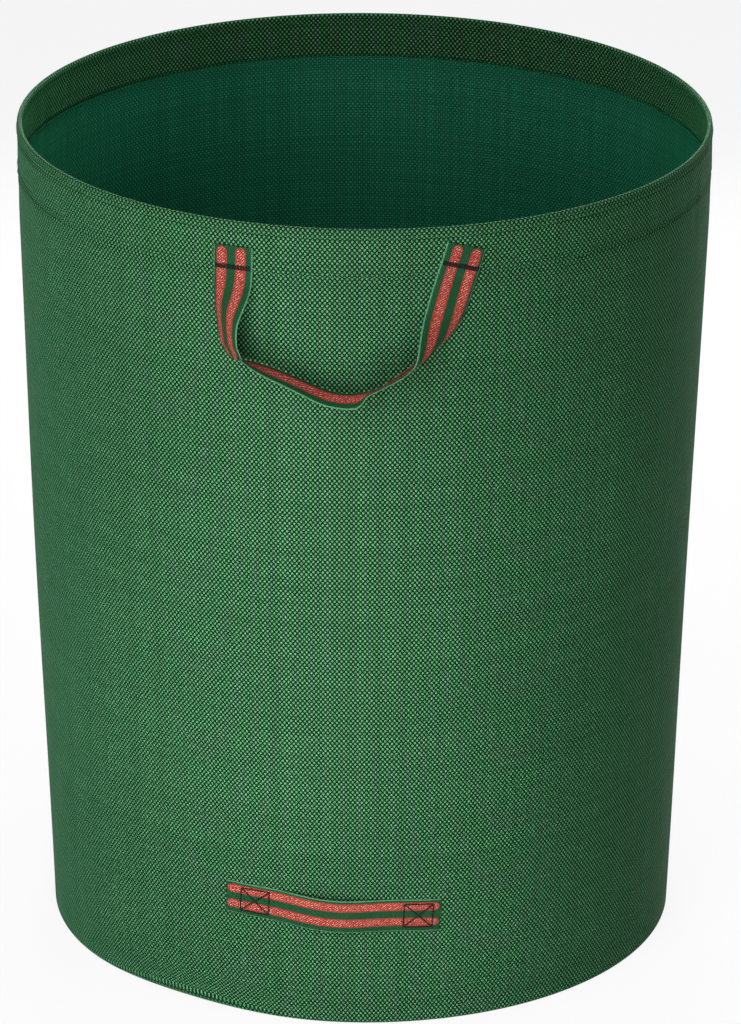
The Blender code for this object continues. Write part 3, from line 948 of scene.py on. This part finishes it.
@dataclass
class Base:
    """The round base panel, the tape over its seam and the seam's thread.

    Each rumple wave is its turn for each metre to the right and to the back, and its turn at the
    middle: the broad one, the one that bends it, the one across it and the fine one.
    """

    radius: float = 0.2905
    step_radius: float = 0.2760
    step_width: float = 0.0022
    thickness: float = SHEET_THICKNESS
    edge_height: float = 0.0013
    columns: int = 180
    rings: int = 40
    hub_radii: Span = (0.002, 0.008)
    rumple: float = 0.0016
    rumple_fade: float = 0.05
    rumple_bend: float = 1.2
    rumple_fine: float = 0.6
    rumple_waves: tuple[tuple[float, float, float], ...] = (
        (21, 0, 0.0),
        (0, 17, 0.0),
        (9, 19, 0.6),
        (37, -29, 1.0),
    )
    tape_width: float = 0.018
    tape_thickness: float = TAPE_THICKNESS
    tape_radius: float = 0.2915
    tape_height: float = 0.0020
    tape_rings: int = 7
    waver: float = 0.0002
    wavers: tuple[Span, ...] = ((23, 0.0), (37, 1.0))
    thread_radius: float = 0.283
    thread_points: int = 721

    def rumples(self, x: Array, y: Array) -> Array:
        """How the cloth rumples at places on the floor.

        Args:
            x: Distances to the right.
            y: Distances to the back.

        Returns:
            The heights there as shares of the rumple, below 0 where the cloth lies flat.
        """
        broad, bend, cross, fine = (right * x + back * y + turn
                                    for right, back, turn in self.rumple_waves)
        return (np.sin(broad + self.rumple_bend * np.sin(bend)) * np.sin(cross)
                + self.rumple_fine * np.sin(fine))

    def panel(self) -> bpy.types.Object:
        """Makes the base panel, slightly rumpled where nothing lies on it.

        Returns:
            The piece.
        """
        angles = np.arange(self.columns) * 2 * math.pi / self.columns
        inner = self.step_radius - self.step_width
        hub, start = self.hub_radii
        radii = [hub, *np.linspace(start, inner, self.rings), self.step_radius,
                 (self.step_radius + self.radius) / 2, self.radius]
        points = []
        for radius in radii:
            x = radius * np.sin(angles)
            y = -radius * np.cos(angles)
            if radius > inner:
                lift = np.full_like(x, self.edge_height)
            else:
                raised = np.clip(self.rumples(x, y), 0.0, None)
                fade = min(1.0, (inner - radius) / self.rumple_fade)
                lift = self.thickness / 2 + self.rumple * fade * raised
            points.append(np.stack([x, y, lift], axis=-1))
        points = np.array(points)[::-1]
        wrapped = np.concatenate([points, points[:, :1]], axis=1)
        panel = Piece.grid("base_sheet", points, wrapped[:, :, :2],
                           [INSIDE.material(), OUTSIDE.material()])
        Piece.thicken(panel, self.thickness, inner=1)
        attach(panel, "bag")
        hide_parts("base_panel")
        return panel

    def tape(self) -> bpy.types.Object:
        """Makes the flat tape that covers the seam inside the bag.

        Returns:
            The piece.
        """
        angles = np.linspace(0.0, 2 * math.pi, 2 * self.columns, endpoint=False)
        radii = np.linspace(self.tape_radius, self.tape_radius - self.tape_width, self.tape_rings)
        waver = sum(self.waver * np.sin(count * angles + turn) for count, turn in self.wavers)
        points = round_axis(angles, radii[:, None] + waver,
                            self.tape_height + self.tape_thickness / 2)
        along = np.linspace(0.0, 2 * math.pi * self.tape_radius, 2 * self.columns + 1)
        places = cloth_places(along, self.tape_radius - radii)[:, :, ::-1]
        tape = Piece.grid("base_seam_tape", points, places, [TAPE.material()])
        Piece.thicken(tape, self.tape_thickness)
        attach(tape, "bag")
        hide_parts("base_seam_binding")
        return tape

    def thread_row(self) -> bpy.types.Object:
        """Makes the stitches along the tape.

        Returns:
            The piece.
        """
        angles = np.linspace(0.0, 2 * math.pi, self.thread_points)
        line = round_axis(angles, self.thread_radius, self.tape_height + self.tape_thickness)
        row = BASE_SEWING.make("base_seam_thread", "base_seam_stitch", [(line, 0.0)])
        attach(row, "bag")
        return row

    def make(self) -> list[bpy.types.Object]:
        """Makes the three pieces."""
        return [self.panel(), self.tape(), self.thread_row()]


@dataclass
class SideSeam:
    """The tape inside the bag over the side seam, and its two rows of stitching."""

    shape: BagShape
    angle: float = SEAM_ANGLE
    tape_width: float = 0.025
    tape_thickness: float = TAPE_THICKNESS
    foot: float = 0.012
    top: float = 0.7545
    tape_face: float = -0.0005
    tape_rows: int = 120
    tape_columns: int = 9
    row_spacing: float = 0.016
    row_inset: float = 0.006
    row_points: int = 240

    def line(self, arc: Array | float, heights: Array, stand_off: float) -> Array:
        """Points up the wall, at a distance round it from the seam's middle."""
        angle = self.angle + arc / self.shape.cone(self.shape.height)
        return self.shape.point(angle, heights, stand_off)

    def tape(self) -> bpy.types.Object:
        """Makes the tape.

        Returns:
            The piece.
        """
        heights = np.linspace(self.foot, self.top, self.tape_rows)
        arcs = np.linspace(-self.tape_width / 2, self.tape_width / 2, self.tape_columns)
        middle = self.line(arcs[None, :], heights[:, None],
                           self.tape_face - self.tape_thickness / 2)
        tape = Piece.strap("side_seam_tape_strip", middle, cloth_places(arcs, heights),
                           self.tape_thickness, TAPE.material())
        self.shape.shorten(tape)
        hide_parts("side_seam_tape")
        return tape

    def thread_row(self, name: str, arc: float) -> bpy.types.Object:
        """Makes one row of stitches, on the tape inside and on the wall outside.

        Args:
            name: The CAD node that it replaces.
            arc: How far it is from the seam's middle.

        Returns:
            The piece.
        """
        heights = np.linspace(self.foot + self.row_inset, self.top - self.row_inset,
                              self.row_points)
        lines = [(self.line(arc, heights, 0.0), 1.0),
                 (self.line(arc, heights, self.tape_face - self.tape_thickness), -1.0)]
        row = SEAM_SEWING.make(name + "_thread", name, lines)
        self.shape.shorten(row)
        return row

    def make(self) -> list[bpy.types.Object]:
        """Makes the tape and both rows.

        Returns:
            The three pieces.
        """
        half = self.row_spacing / 2
        return [self.tape(), self.thread_row("side_seam_stitch_front", -half),
                self.thread_row("side_seam_stitch_back", half)]


@dataclass
class Hoop:
    """The springy hoop inside the hem, and the sleeve that joins its two ends at the back."""

    shape: BagShape
    height: float = 0.7961
    middle: float = -0.0014
    rod_radius: float = 0.0018
    end_gap: float = 0.002
    sleeve_radius: float = 0.0021
    sleeve_length: float = 0.040
    sides: int = 10
    rod_steps: int = 240
    sleeve_steps: int = 16

    def tube(self, name: str, start: float, end: float, radius: float, node: str,
             count: int) -> bpy.types.Object:
        """Makes a round rod along the rim.

        Args:
            name: The piece's name.
            start: The angle of its first end.
            end: The angle of its last end.
            radius: The rod's radius.
            node: The CAD node that it replaces.
            count: How many steps it has.

        Returns:
            The piece.
        """
        angles = np.linspace(start, end, count)
        centre = self.shape.point(angles, self.height, self.middle)
        out = round_axis(angles, 1.0, 0.0)
        rings = [centre + radius * (out * math.cos(turn) + np.array([0.0, 0.0, math.sin(turn)]))
                 for turn in np.linspace(0.0, 2 * math.pi, self.sides, endpoint=False)]
        faces = [*Piece.ring_faces(count, self.sides)[:, [0, 3, 2, 1]].tolist(),
                 list(range(self.sides - 1, -1, -1)),
                 list(range((count - 1) * self.sides, count * self.sides))]
        places = np.zeros((sum(len(face) for face in faces), 2))
        tube = Piece.build(name, np.stack(rings, axis=1), faces, places, [HOOP_ROD.material()])
        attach(tube, "rim")
        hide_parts(node)
        return tube

    def make(self) -> list[bpy.types.Object]:
        """Makes the hoop and the sleeve.

        Returns:
            The two pieces.
        """
        radius = self.shape.cone(self.height)
        gap = self.end_gap / radius / 2
        half = self.sleeve_length / radius / 2
        return [
            self.tube("hoop_rod", gap - math.pi, math.pi - gap, self.rod_radius, "hoop",
                      self.rod_steps),
            self.tube("hoop_sleeve_tube", math.pi - half, math.pi + half, self.sleeve_radius,
                      "hoop_sleeve", self.sleeve_steps),
        ]


@dataclass
class LiftingHandle:
    """One lifting handle: a strap sewn to the rim at both ends, whose loop hangs and folds over.

    The route follows the strap's outer edge from the top of one tab to the top of the other, as
    distance round the rim, height, distance off the wall, how far the strap has turned out, and how
    far it folds over more along its middle.
    """

    shape: BagShape
    facing: Facing
    name: str
    width: float = 0.038
    thickness: float = WEBBING_THICKNESS
    wall_gap: float = 0.0019
    fold_slant_left: float = 0.90
    fold_slant_right: float = 2.15
    fold_reach: float = 0.45
    crease_start: float = 0.42
    crease_end: float = 0.62
    arc_height: float = 0.7535
    hinge_radius: float = 0.324
    hinge_height: float = 0.757
    loop_height: float = 0.738
    rows: int = 220
    columns: int = 25
    route: tuple[tuple[float, float, float, float, float], ...] = (
        (-0.1239, 0.7767, 0.0000, 0.0, 0.0),
        (-0.1239, 0.7643, 0.0000, 0.0, 0.0),
        (-0.1239, 0.7539, 0.0000, 4.0, 0.0),
        (-0.1237, 0.7454, 0.0002, 12.0, 0.0),
        (-0.1233, 0.7380, 0.0006, 23.0, 0.0),
        (-0.1226, 0.7307, 0.0011, 34.0, 0.0),
        (-0.1217, 0.7224, 0.0017, 40.0, 0.0),
        (-0.1205, 0.7142, 0.0024, 43.0, 0.0),
        (-0.1193, 0.7050, 0.0030, 44.0, 0.0),
        (-0.1181, 0.6957, 0.0035, 45.0, 0.0),
        (-0.1163, 0.6862, 0.0035, 47.0, 0.0),
        (-0.1113, 0.6776, 0.0030, 54.0, 0.0),
        (-0.1050, 0.6704, 0.0020, 63.0, 0.0),
        (-0.0969, 0.6684, 0.0015, 68.0, 6.0),
        (-0.0875, 0.6682, 0.0010, 69.0, 20.0),
        (-0.0753, 0.6665, 0.0008, 69.0, 30.0),
        (-0.0604, 0.6626, 0.0005, 69.0, 36.0),
        (-0.0458, 0.6573, 0.0000, 69.0, 40.0),
        (-0.0311, 0.6512, 0.0000, 69.0, 44.0),
        (-0.0166, 0.6458, 0.0000, 70.0, 47.0),
        (-0.0057, 0.6432, 0.0000, 69.0, 49.0),
        (0.0051, 0.6427, 0.0000, 69.0, 50.0),
        (0.0160, 0.6441, 0.0000, 69.0, 46.0),
        (0.0250, 0.6464, 0.0000, 70.0, 34.0),
        (0.0331, 0.6502, 0.0000, 71.0, 16.0),
        (0.0449, 0.6586, 0.0000, 73.0, 3.0),
        (0.0566, 0.6673, 0.0000, 75.0, 0.0),
        (0.0675, 0.6755, 0.0000, 77.0, 0.0),
        (0.0784, 0.6840, 0.0000, 77.0, 0.0),
        (0.0885, 0.6919, 0.0000, 73.0, 0.0),
        (0.0967, 0.7001, 0.0003, 62.0, 0.0),
        (0.1034, 0.7092, 0.0006, 42.0, 0.0),
        (0.1082, 0.7189, 0.0006, 26.0, 0.0),
        (0.1117, 0.7280, 0.0004, 16.0, 0.0),
        (0.1150, 0.7372, 0.0002, 9.0, 0.0),
        (0.1183, 0.7472, 0.0000, 4.0, 0.0),
        (0.1216, 0.7573, 0.0000, 0.0, 0.0),
        (0.1248, 0.7674, 0.0000, 0.0, 0.0),
        (0.1271, 0.7757, 0.0000, 0.0, 0.0),
    )
    bar_drop: float = 0.0198
    bar_inset: float = 0.0018
    bar_rows: int = 4
    bar_row_gap: float = 0.0010
    bar_points: int = 20

    def edge_line(self) -> tuple[Array, Array, Array]:
        """Even steps along the outer edge, on a smooth line through the route.

        Returns:
            The values at each step, their slopes, and the length up to each.
        """
        route = np.array(self.route)
        route[:, 3:] = np.radians(route[:, 3:])
        chords = np.linalg.norm(np.diff(route[:, :3], axis=0), axis=1)
        knots = np.concatenate([[0.0], np.cumsum(chords)])
        rates = np.empty_like(route)
        rates[1:-1] = (route[2:] - route[:-2]) / (knots[2:] - knots[:-2])[:, None]
        rates[0] = (route[1] - route[0]) / knots[1]
        rates[-1] = (route[-1] - route[-2]) / (knots[-1] - knots[-2])
        places = np.linspace(0.0, knots[-1], self.rows + 1)
        index = np.clip(np.searchsorted(knots, places, side="right") - 1, 0, len(knots) - 2)
        span = (knots[index + 1] - knots[index])[:, None]
        t = (places[:, None] - knots[index][:, None]) / span
        first, last = route[index], route[index + 1]
        rate_first, rate_last = rates[index] * span, rates[index + 1] * span
        cubic = 2 * (first - last) + rate_first + rate_last
        square = 3 * (last - first) - 2 * rate_first - rate_last
        values = first + rate_first * t + square * t ** 2 + cubic * t ** 3
        slopes = (rate_first + 2 * square * t + 3 * cubic * t ** 2) / span
        return values, slopes, places

    def middle_face(self) -> tuple[Array, Array]:
        """The grid of points on the strap's middle face.

        From the outer edge, the strap runs across in the direction that it has a little nearer to
        its tab, so that it folds over along slanted lines, as hanging webbing does.

        Returns:
            The points, and their places on the flat strap.
        """
        values, slopes, places = self.edge_line()
        run = slopes[:, :2] / np.linalg.norm(slopes[:, :2], axis=1, keepdims=True)
        share = places / places[-1]
        slant = (self.fold_slant_left * np.sqrt(np.clip(1 - share / self.fold_reach, 0, 1))
                 - self.fold_slant_right
                 * np.sqrt(np.clip(1 - (1 - share) / self.fold_reach, 0, 1)))
        widths = np.linspace(0.0, self.width, self.columns)
        place = values[:, :3].copy()
        grid = [place]
        for low, high in zip(widths[:-1], widths[1:]):
            middle = (low + high) / 2
            crease = soft_share(middle / self.width, self.crease_start, self.crease_end)
            level, climb, turned, folded = (
                np.interp(places - slant * middle, places, part)
                for part in (run[:, 0], run[:, 1], values[:, 3], values[:, 4]))
            turned = turned + crease * folded
            step = np.stack([-climb * np.cos(turned), level * np.cos(turned), np.sin(turned)],
                            axis=1)
            step /= np.linalg.norm(step, axis=1, keepdims=True)
            place = place + step * (high - low)
            grid.append(place)
        flat = np.stack(grid, axis=1)
        angle = self.facing.value + flat[..., 0] / self.shape.cone(self.arc_height)
        points = self.shape.point(angle, flat[..., 1], self.wall_gap + flat[..., 2])
        return points, cloth_places(widths, places)

    def strap(self) -> bpy.types.Object:
        """Makes the strap, which bends from the rim to the loop below its tabs.

        Returns:
            The piece.
        """
        middle, places = self.middle_face()
        along = places[:, 0, 1]
        strap = Piece.strap(f"{self.name}_strap", middle, places, self.thickness,
                            WEBBING.material(), np.minimum(along, along[-1] - along))
        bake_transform(strap)
        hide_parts(f"{self.name}_loop", f"{self.name}_tab_left", f"{self.name}_tab_right")
        return strap

    def bar(self, hand: Hand) -> bpy.types.Object:
        """Makes the bar of stitches that holds a tab.

        Args:
            hand: Which tab.

        Returns:
            The piece.
        """
        middle, places = self.middle_face()
        along = places[:, 0, 1]
        inside = np.linspace(self.bar_inset, self.width - self.bar_inset, self.bar_points)
        lines = []
        for row in range(self.bar_rows):
            drop = self.bar_drop + (row - (self.bar_rows - 1) / 2) * self.bar_row_gap
            mark = drop if hand is Hand.LEFT else along[-1] - drop
            level = int(np.searchsorted(along, mark)) - 1
            rest = (mark - along[level]) / (along[level + 1] - along[level])
            edge = middle[level] * (1 - rest) + middle[level + 1] * rest
            line = np.stack([np.interp(inside, places[0, :, 0], edge[:, k]) for k in range(3)],
                            axis=1)
            out = line * (1.0, 1.0, 0.0)
            out /= np.linalg.norm(out, axis=1, keepdims=True)
            lines.append((line + out * self.thickness / 2, 1.0))
        name = f"{self.name}_stitch_{hand.name.lower()}"
        bar = BAR_SEWING.make(name + "_bar", name, lines)
        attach(bar, "rim")
        return bar

    def make(self) -> list[bpy.types.Object]:
        """Makes the strap and both bars of stitches."""
        return [self.strap(), *(self.bar(hand) for hand in Hand)]


@dataclass
class GrabHandle:
    """The low grab handle: a slack strap sewn flat at both ends with crossed boxes."""

    shape: BagShape
    angle: float = math.radians(-2.4)
    height: float = 0.1178
    lean: float = math.radians(3.2)
    width: float = 0.033
    thickness: float = WEBBING_THICKNESS
    free_span: float = 0.126
    tab_length: float = 0.039
    bulge: float = 0.0086
    sag: float = 0.0006
    stand_off: float = 0.0009
    rows: int = 56
    columns: int = 13
    box_near_left: float = 0.0595
    box_near_right: float = 0.0672
    box_length: float = 0.0275
    box_height: float = 0.0235
    box_points: int = 10
    pattern_start: float = 0.2
    slack_share: float = 0.35

    def place(self, along: Array, rise: Array | float, stand_off: Array | float) -> Array:
        """Points on the wall from their place on the strap.

        Args:
            along: Distances along the strap from its middle.
            rise: Distances up the strap from its middle.
            stand_off: Distances outwards from the wall.

        Returns:
            An array with x, y and z last.
        """
        across = along * math.cos(self.lean) + rise * math.sin(self.lean)
        up = rise * math.cos(self.lean) - along * math.sin(self.lean)
        angle = self.angle + across / self.shape.cone(self.height)
        return self.shape.point(angle, self.height + up, stand_off)

    def half(self, hand: Hand) -> bpy.types.Object:
        """Makes half the strap, from its sewn end to its middle.

        Args:
            hand: Which half.

        Returns:
            The piece.
        """
        reach = self.free_span / 2
        along = hand.value * np.linspace(reach + self.tab_length, 0.0, self.rows + 1)
        slack = np.where(np.abs(along) < reach, 0.5 + 0.5 * np.cos(math.pi * along / reach), 0.0)
        rises = np.linspace(-self.width / 2, self.width / 2, self.columns) * hand.value
        out = self.stand_off + self.bulge * slack
        middle = self.place(along[:, None], rises[None, :] - self.sag * slack[:, None],
                            out[:, None])
        cloth = cloth_places(WEBBING.width * (0.5 - rises / self.width),
                             along + self.pattern_start)
        name = hand.name.lower()
        strap = Piece.strap(f"grab_handle_strap_{name}", middle, cloth, self.thickness,
                            WEBBING.material(), reach + self.tab_length - np.abs(along))
        sewn, free = self.place(hand.value * reach * np.array([1.0, self.slack_share]), 0.0, 0.0)
        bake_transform(strap)
        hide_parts(f"grab_handle_tab_{name}", "grab_handle_loop")
        return strap

    def box(self, hand: Hand) -> bpy.types.Object:
        """Makes the crossed box of stitches at one end.

        Args:
            hand: Which end.

        Returns:
            The piece.
        """
        near = self.box_near_left if hand is Hand.LEFT else self.box_near_right
        far = near + self.box_length
        high = self.box_height / 2
        corners = [(near, -high), (far, -high), (far, high), (near, high)]
        runs = [*zip(corners, corners[1:] + corners[:1]), corners[::2], corners[1::2]]
        lines = []
        for first, last in runs:
            along, rise = np.linspace(first, last, self.box_points).T
            face = self.stand_off + self.thickness / 2
            lines.append((self.place(hand.value * along, rise, face), 1.0))
        name = f"grab_handle_stitch_{hand.name.lower()}"
        box = BOX_SEWING.make(name + "_box", name, lines)
        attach(box, "bag")
        return box

    def make(self) -> list[bpy.types.Object]:
        """Makes both halves of the strap and both boxes of stitches."""
        return [*(self.half(hand) for hand in Hand), *(self.box(hand) for hand in Hand)]


@dataclass(frozen=True)
class SoftBox:
    """One soft lamp of the studio, turned to the object's axis."""

    name: str
    angle: float
    distance: float
    height: float
    target: float
    width: float
    length: float
    power: float

    def make(self) -> None:
        """Hangs the lamp."""
        light = bpy.data.lights.new(self.name, "AREA")
        light.shape = "RECTANGLE"
        light.size = self.width
        light.size_y = self.length
        light.energy = self.power
        lamp = bpy.data.objects.new(self.name, light)
        turn = math.radians(self.angle)
        lamp.location = (self.distance * math.sin(turn), -self.distance * math.cos(turn),
                         self.height)
        aim = Vector((0.0, 0.0, self.target)) - lamp.location
        lamp.rotation_euler = aim.to_track_quat("-Z", "Y").to_euler()
        bpy.context.scene.collection.objects.link(lamp)


@dataclass
class Studio:
    """The pale floor, the soft light and the camera at the photograph's viewing angle."""

    floor_size: float = 40.0
    floor_roughness: float = 0.9
    floor_colour: Colour = (0.92, 0.92, 0.92)
    floor_bounce: Colour = (0.14, 0.14, 0.14)
    floor_glow: float = 0.88
    world_strength: float = 0.030
    camera_angle: float = math.radians(2.7)
    camera_distance: float = 5.8366
    camera_height: float = 2.7163
    camera_pitch: float = 0.3779
    camera_roll: float = 0.005
    camera_lens: float = 229.58
    camera_shift: float = 0.00755
    camera_sensor: float = 36.0
    camera_reach: float = 100.0
    lamps: tuple[SoftBox, ...] = (
        SoftBox("key_lamp", -19.0, 1.70, 1.40, 0.30, 0.80, 1.20, 9.4),
        SoftBox("front_left_lamp", -11.0, 1.20, 0.70, 0.25, 0.60, 1.10, 7.6),
        SoftBox("front_right_lamp", 2.0, 1.60, 0.70, 0.25, 0.40, 1.10, 3.2),
        SoftBox("low_left_lamp", -11.0, 1.05, 0.12, 0.15, 0.90, 0.40, 5.6),
        SoftBox("low_right_lamp", 8.0, 1.20, 0.12, 0.15, 0.50, 0.40, 1.9),
        SoftBox("left_lamp", -120.0, 2.2, 1.90, 0.40, 0.60, 1.60, 1.6),
        SoftBox("right_lamp", 126.0, 2.0, 2.10, 0.40, 0.60, 1.60, 13.0),
        SoftBox("back_lamp", 182.0, 2.0, 1.10, 0.35, 1.00, 1.20, 20.0),
        SoftBox("top_lamp", 170.0, 0.7, 3.00, 0.50, 1.60, 1.60, 34.0),
    )

    @staticmethod
    def seen(tree: bpy.types.NodeTree) -> bpy.types.NodeSocket:
        """Tells the rays that show the background, seen, mirrored or through glass.

        Args:
            tree: The node tree that asks.

        Returns:
            A socket that is 1 for such a ray and 0 for others.
        """
        path = tree.nodes.new("ShaderNodeLightPath")
        found = path.outputs["Is Camera Ray"]
        for other in ("Is Glossy Ray", "Is Transmission Ray"):
            either = tree.nodes.new("ShaderNodeMath")
            either.operation = "MAXIMUM"
            tree.links.new(found, either.inputs[0])
            tree.links.new(path.outputs[other], either.inputs[1])
            found = either.outputs[0]
        return found

    def floor(self) -> None:
        """Lays the floor, white to the camera except for the object's shadow."""
        half = self.floor_size / 2
        corners = [(-half, -half), (half, -half), (half, half), (-half, half)]
        points = np.array([(x, y, 0.0) for x, y in corners])
        graph = Graph("floor", self.floor_roughness)
        seen = self.seen(graph.tree)
        graph.surface(graph.mix(seen, self.floor_bounce, self.floor_colour))
        both = graph.add("ShaderNodeMixShader", {
            0: graph.math("MULTIPLY", seen, self.floor_glow), 1: graph.shader.outputs[0],
            2: graph.add("ShaderNodeEmission", {})})
        graph.feed(graph.tree.nodes["Material Output"].inputs["Surface"], both)
        floor = Piece.build("floor", points, [[0, 1, 2, 3]], points[:, :2], [graph.material])

    def sky(self) -> None:
        """Sets the even light from all round, and white where a camera ray misses the floor."""
        world = bpy.data.worlds.new("studio")
        world.use_nodes = True
        tree = world.node_tree
        background = tree.nodes["Background"]
        strength = tree.nodes.new("ShaderNodeMix")
        strength.inputs[2].default_value = self.world_strength
        strength.inputs[3].default_value = 1.0
        tree.links.new(self.seen(tree), strength.inputs[0])
        tree.links.new(strength.outputs[0], background.inputs["Strength"])
        background.inputs["Color"].default_value = (1.0, 1.0, 1.0, 1.0)
        bpy.context.scene.world = world

    def camera(self) -> None:
        """Sets up the camera where the photograph's camera stood."""
        data = bpy.data.cameras.new("camera")
        data.lens = self.camera_lens
        data.sensor_width = self.camera_sensor
        data.shift_x = self.camera_shift
        data.clip_end = self.camera_reach
        camera = bpy.data.objects.new("camera", data)
        place = Matrix.Translation((self.camera_distance * math.sin(self.camera_angle),
                                    -self.camera_distance * math.cos(self.camera_angle),
                                    self.camera_height))
        turn = Matrix.Rotation(self.camera_angle, 4, "Z")
        tilt = Matrix.Rotation(math.pi / 2 - self.camera_pitch, 4, "X")
        roll = Matrix.Rotation(self.camera_roll, 4, "Z")
        camera.matrix_world = place @ turn @ tilt @ roll
        bpy.context.scene.collection.objects.link(camera)
        bpy.context.scene.camera = camera

    def make(self) -> None:
        """Sets up the whole studio."""
        self.floor()
        self.sky()
        for lamp in self.lamps:
            lamp.make()
        self.camera()
        bpy.context.scene.view_settings.view_transform = "Standard"


@dataclass
class GardenWasteBag:
    """The whole bag, sub-assembly by sub-assembly."""

    shape: BagShape = field(default_factory=BagShape)

    def make(self) -> list[bpy.types.Object]:
        """Makes every piece.

        Returns:
            The pieces.
        """
        parts = (
            WallAndHem(self.shape),
            HemRows(self.shape),
            Base(),
            SideSeam(self.shape),
            Hoop(self.shape),
            LiftingHandle(self.shape, Facing.FRONT, "front_handle"),
            LiftingHandle(self.shape, Facing.BACK, "back_handle"),
            GrabHandle(self.shape),
        )
        return [piece for part in parts for piece in part.make()]


def main() -> None:
    """Builds the studio and the bag."""
    logging.basicConfig(level=logging.INFO, format="%(message)s")
    Studio().make()
    for piece in GardenWasteBag().make():
        LOG.info("%s: %d faces", piece.name, len(piece.data.polygons))


if __name__ == "__main__":
    main()
